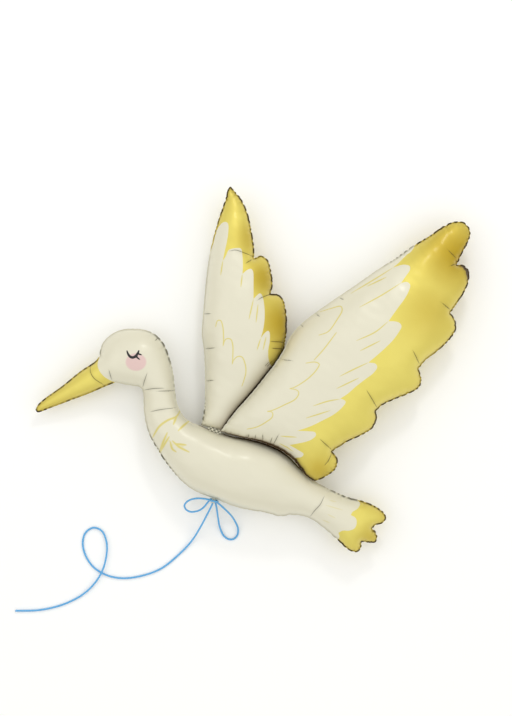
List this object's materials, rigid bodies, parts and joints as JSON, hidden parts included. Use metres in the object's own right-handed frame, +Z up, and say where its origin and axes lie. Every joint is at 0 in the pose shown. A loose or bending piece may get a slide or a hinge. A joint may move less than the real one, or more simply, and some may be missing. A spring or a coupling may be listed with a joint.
{
  "type": "stork foil balloon",
  "caption": "Inflated foil balloon in the shape of a flying stork, lying on its side, with feather-tipped wings and a ribbon tied in a bow at its belly.",
  "frame": {"origin": "on the floor, below the centre of the box round the three envelopes", "axes": "+X from the beak towards the near wing's tip, +Y from the belly towards the raised wings, +Z up from the floor, so the bird lies on its side"},
  "size_m": [1.2291, 1.1493, 0.1751],
  "materials": {
    "printed_foil": "satin metallised film, printed cream with yellow beak, wing tips and tail tips",
    "ribbon": "light blue satin cord"
  },
  "bodies": {
    "root": {"body_envelope": "printed_foil", "far_wing": "printed_foil", "near_wing": "printed_foil", "wing_weld_patch": "printed_foil", "ribbon_knot": "ribbon", "ribbon_tail": "ribbon", "ribbon_bow_left": "ribbon", "ribbon_bow_right": "ribbon"}
  },
  "joints": []
}
